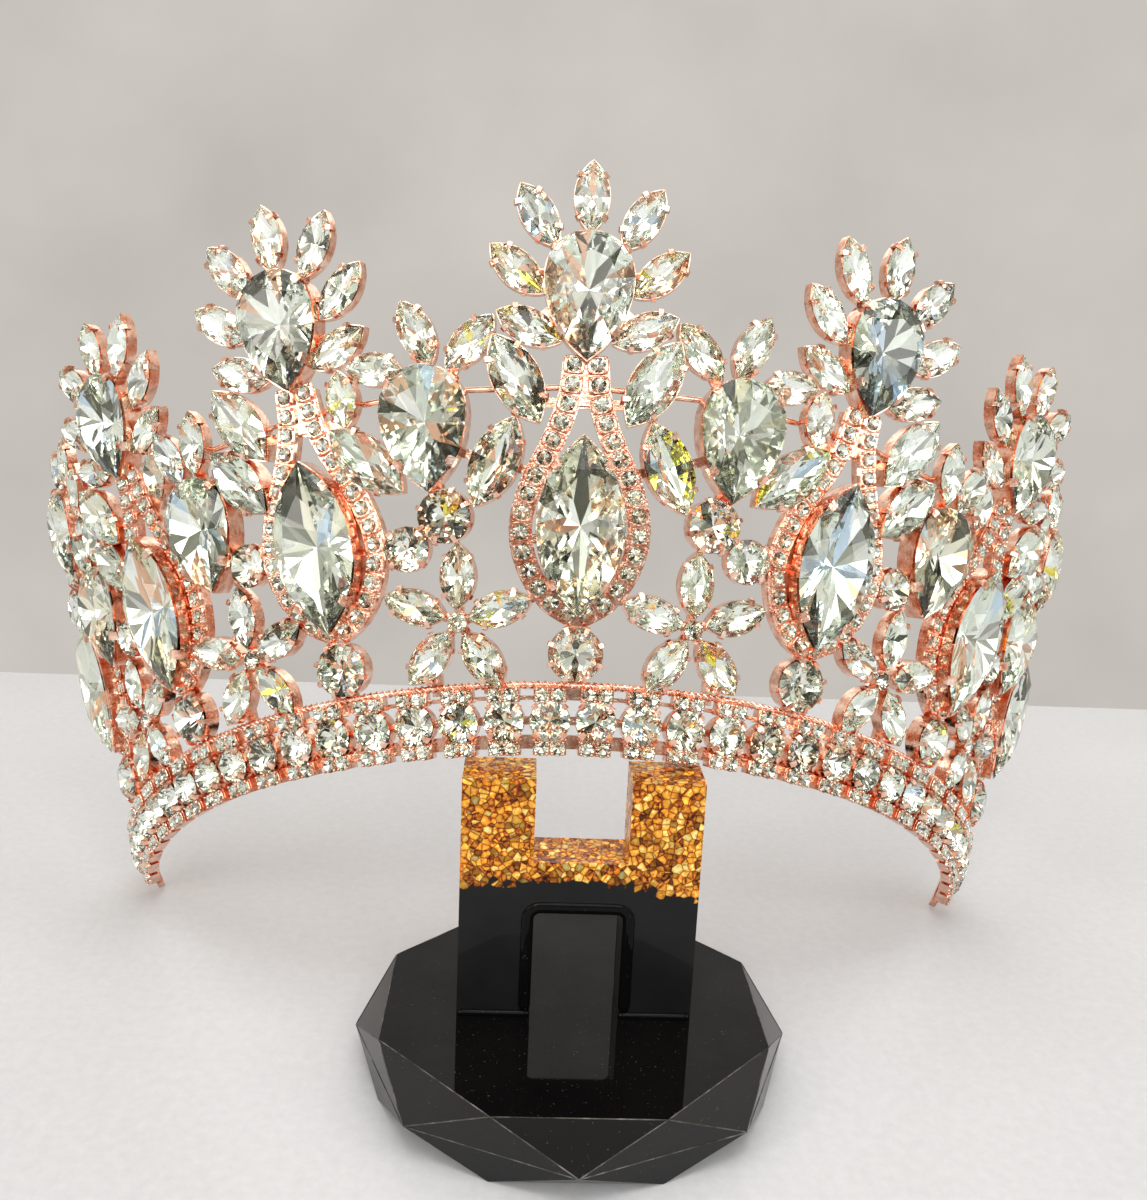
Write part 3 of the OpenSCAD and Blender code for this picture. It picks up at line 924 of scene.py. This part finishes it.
def build_borders():
    """The small stones in their cups along the pointed border round each large navette."""
    border = SmallStones("border", "borders", BORDER_CUP)
    places = spaced(border_line(), BORDER_PITCH, BORDER_START)
    sink = Matrix.Translation((0, 0, BORDER_SINK))
    for angle in DROPS:
        for s in (-1, 1):
            for place, along in places:
                lean = math.degrees(math.atan2(along.x, along.y))
                border.add(on_motif(angle) @ at_seat(s * place.x, place.y, s * lean) @ sink)
    border.build()


def dress_nodes():
    """Finishes of the crown's metal and of the stand's two parts."""
    # The crown's frame takes the copy of the metal with painted shade
    for node, material in (("crown_frame", FRAME_METAL_PAINTED_SHADE), ("stand_base", BLACK), ("stand_upright", FLAKED)):
        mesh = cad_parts[node].data
        mesh.materials.clear()
        mesh.materials.append(material)


def arch_outline():
    """The line along the arch's edge, from its left foot over its rounded corners to the right one."""
    inner = ARCH_HALF - ARCH_CORNER
    left = [(-ARCH_HALF, ARCH_FOOT), (-ARCH_HALF, ARCH_SPRING)]
    left += [(-inner - ARCH_CORNER * math.cos(t), ARCH_SPRING + ARCH_CORNER * math.sin(t))
             for t in (0.4, 0.8, 1.2)]
    left += [(-inner, ARCH_SPRING + ARCH_CORNER)]
    return left + [(-x, z) for x, z in reversed(left)]


def build_arch_trim():
    """The rounded rim along the arch, and the glue at the feet of its legs, at front and back."""
    rim = Shape("arch_rim")
    depthways = Vector((0, 1, 0))
    for y in (upright_low.y, upright_high.y):
        bar(rim, [Vector((x, y, z)) for x, z in arch_outline()], *ARCH_RIM, depthways)
        for s in (-1, 1):
            glue = [Vector((s * x, y, GLUE_HEIGHT)) for x in GLUE_ALONG]
            bar(rim, glue, *GLUE_RIM, depthways)
    rim.build([BLACK], "black_resin", smooth=True)


def build_edge_wear_and_highlights():
    """Thin lines along the edges of the eight-sided base, paler in patches: rubbed wear and painted edge
    highlight.
    """
    edge_lines = Shape("base_worn_edges")
    top = ring(BASE_TOP / 2, 8, BASE_HEIGHT, 0.5)
    wide = ring(BASE_WIDE / 2, 8, BASE_WIDE_HEIGHT, 1)
    for k in range(8):
        after = (k + 1) % 8
        for p, q in ((top[k], top[after]), (wide[k], wide[after]), (top[k], wide[k]), (top[after], wide[k])):
            side = (q - p).cross(Vector((0.3, 0.2, 1))).normalized()
            bar(edge_lines, [p, p.lerp(q, 0.5), q], *EDGE_LINE, side, 6)
    edge_lines.build([EDGE_WEAR_AND_HIGHLIGHT], "black_resin", smooth=True)


def build_floor():
    """A wide table that ends behind the crown, where the wall begins; in metres."""
    side = 2.2
    back = 0.24
    mesh = bpy.data.meshes.new("floor")
    mesh.from_pydata([(-side, -side, 0), (side, -side, 0), (side, back, 0), (-side, back, 0)], [],
                     [(0, 1, 2, 3)])
    mesh.materials.append(pale_floor())
    floor = bpy.data.objects.new("floor", mesh)
    bpy.context.scene.collection.objects.link(floor)


def build_camera():
    """The photograph's camera: turned to the right, looking down, and rolled a little."""
    lens = bpy.data.cameras.new("camera")
    lens.sensor_fit = "HORIZONTAL"
    lens.sensor_width = SENSOR_WIDTH
    lens.lens = FOCAL_PIXELS / PHOTO_WIDTH * SENSOR_WIDTH
    lens.clip_start = 0.01
    turned, down, roll = (math.radians(a) for a in (CAMERA_TURN, CAMERA_DOWN, CAMERA_ROLL))
    ahead = Vector((math.sin(turned) * math.cos(down), math.cos(turned) * math.cos(down), -math.sin(down)))
    level = Vector((math.cos(turned), -math.sin(turned), 0))
    upright = level.cross(ahead)
    right = level * math.cos(roll) + upright * math.sin(roll)
    above = right.cross(ahead)
    facing = Matrix((right, above, -ahead)).transposed().to_4x4()
    camera = bpy.data.objects.new("camera", lens)
    camera.matrix_world = Matrix.Translation(CAMERA_AT * MM) @ facing
    bpy.context.scene.collection.objects.link(camera)
    bpy.context.scene.camera = camera


class Room(Nodes):
    """The scene's background, shaded by direction."""

    space = "Generated"

    def shade(self, number, stops):
        """Grey levels along one axis of the directions, from its low end to its high end."""
        warm = [(spot, (level * 1.03, level, level * 0.96)) for spot, level in stops]
        return self.ramp(0.5 * self.axis(self.place(), number) + 0.5, warm)


def build_room():
    """A pale wall behind, brighter above, with bright and dim bands behind the camera."""
    world = bpy.data.worlds.new("room")
    world.use_nodes = True
    bpy.context.scene.world = world
    room = Room(world.node_tree)
    tall = room.shade(2, [(0.0, 0.54), (0.46, 0.54), (0.62, 0.56), (0.72, 0.95), (0.85, 0.70), (1.0, 1.0)])
    deep = room.shade(1, [(0.0, 0.4), (0.07, 1.3), (0.15, 0.5), (0.25, 1.35), (0.36, 0.65), (0.5, 1.0),
                          (1.0, 1.0)])
    patch = room.node("ShaderNodeMapRange", {}, {"Value": room.noise(5, 8), "From Min": 0.3, "From Max": 0.7,
                                                 "To Min": 0.9, "To Max": 1.08})
    room.feed(room.tree.nodes["Background"], {"Color": room.mix(1.0, tall, deep, "MULTIPLY"),
                                              "Strength": room.out(patch, "Result")})


# Soft lights over, before, beside and behind the crown, and three small lamps; in metres and watts
Lamp = namedtuple("Lamp", "name place target size power tint", defaults=[(1, 1, 1)])
LAMPS = [
    Lamp("over", (0.0, -0.15, 0.9), (0, 0.05, 0), (0.9, 0.7), 3.2),
    Lamp("front", (0.0, -1.1, 0.75), (0, 0, 0.08), (1.2, 0.5), 5),
    Lamp("left_front", (-0.75, -0.55, 0.45), (0, 0, 0.08), (0.35, 0.5), 2.4, (1, 0.97, 0.93)),
    Lamp("right_front", (0.8, -0.35, 0.4), (0, 0, 0.08), (0.25, 0.5), 1.6, (0.94, 0.97, 1)),
    Lamp("behind", (0.1, 0.9, 0.7), (0, 0, 0.1), (1.0, 0.4), 1.2),
    Lamp("lamp_left", (-0.35, -0.9, 0.6), (0, 0, 0.1), (0.16, 0.05), 0.5),
    Lamp("lamp_right", (0.45, -0.8, 0.75), (0, 0, 0.1), (0.12, 0.06), 0.5),
    Lamp("lamp_over", (0.05, -0.35, 0.9), (0, 0, 0.1), (0.2, 0.05), 0.5),
]


def build_lights():
    """The lights, each aimed at its target and out of the camera's sight."""
    for lamp in LAMPS:
        data = bpy.data.lights.new(lamp.name, "AREA")
        data.shape = "RECTANGLE"
        data.size, data.size_y = lamp.size
        data.energy = lamp.power
        data.color = lamp.tint
        light = bpy.data.objects.new(lamp.name, data)
        light.location = lamp.place
        aim = Vector(lamp.target) - Vector(lamp.place)
        light.rotation_euler = aim.to_track_quat("-Z", "Y").to_euler()
        light.visible_camera = False
        bpy.context.scene.collection.objects.link(light)


stones = seat_stones()
build_stones(stones)
build_claws(stones)
build_band_trim()
build_rope()
build_borders()
dress_nodes()
build_arch_trim()
build_edge_wear_and_highlights()
build_floor()
build_camera()
build_room()
build_lights()
bpy.context.scene.view_settings.view_transform = "Standard"
bpy.context.scene.cycles.glossy_bounces = 12
